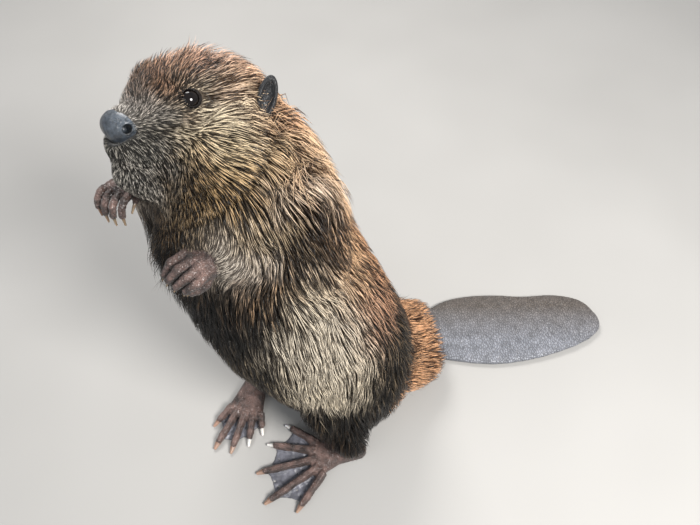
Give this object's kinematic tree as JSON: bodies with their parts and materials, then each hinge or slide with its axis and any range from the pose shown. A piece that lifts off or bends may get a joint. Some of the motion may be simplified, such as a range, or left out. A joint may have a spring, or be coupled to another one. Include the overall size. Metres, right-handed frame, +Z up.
{
  "type": "beaver",
  "caption": "Life-size North American beaver standing upright on its hind feet, forepaws held to the chest, flat tail laid out on the ground.",
  "frame": {"origin": "centre of the model's box on the floor", "axes": "+X the way the tail points, +Z up; the belly faces between -X and -Y, and +Y is across, away from the side it is seen from"},
  "size_m": [0.6677, 0.3591, 0.5313],
  "materials": {
    "body_fur": "damp brown fur, long pale-tipped guard hairs",
    "face_fur": "short fur, silver-grey on the muzzle, golden on the cheek",
    "rump_fur": "orange-tan fur",
    "bare_skin": "wrinkled brown-grey skin of the paws and feet",
    "ear_skin": "dark slate skin with short hair",
    "nose_skin": "moist blue-black pebbled skin",
    "tail_skin": "slate-grey skin in small flat scales",
    "claw": "horn, cream to tan",
    "eye": "wet black"
  },
  "bodies": {
    "root": {"forearm_left": "body_fur", "upper_arm_left": "body_fur", "forearm_right": "body_fur", "upper_arm_right": "body_fur", "leg_left": "body_fur", "leg_right": "body_fur", "tail_paddle": "tail_skin", "tail_base": "rump_fur", "neck": "body_fur", "trunk": "body_fur", "eye_left": "eye", "eye_right": "eye", "nose": "nose_skin", "ear_left": "ear_skin", "ear_right": "ear_skin", "head": "face_fur", "claw_fore_left_1": "claw", "claw_fore_left_2": "claw", "claw_fore_left_3": "claw", "claw_fore_left_4": "claw", "claw_fore_left_5": "claw", "paw_left": "bare_skin", "claw_fore_right_1": "claw", "claw_fore_right_2": "claw", "claw_fore_right_3": "claw", "claw_fore_right_4": "claw", "claw_fore_right_5": "claw", "paw_right": "bare_skin", "claw_hind_left_1": "claw", "claw_hind_left_2": "claw", "claw_hind_left_3": "claw", "claw_hind_left_4": "claw", "claw_hind_left_5": "claw", "toe_left_1": "bare_skin", "toe_left_2": "bare_skin", "toe_left_3": "bare_skin", "toe_left_4": "bare_skin", "toe_left_5": "bare_skin", "foot_left": "bare_skin", "claw_hind_right_1": "claw", "claw_hind_right_2": "claw", "claw_hind_right_3": "claw", "claw_hind_right_4": "claw", "claw_hind_right_5": "claw", "toe_right_1": "bare_skin", "toe_right_2": "bare_skin", "toe_right_3": "bare_skin", "toe_right_4": "bare_skin", "toe_right_5": "bare_skin", "foot_right": "bare_skin"}
  },
  "joints": []
}
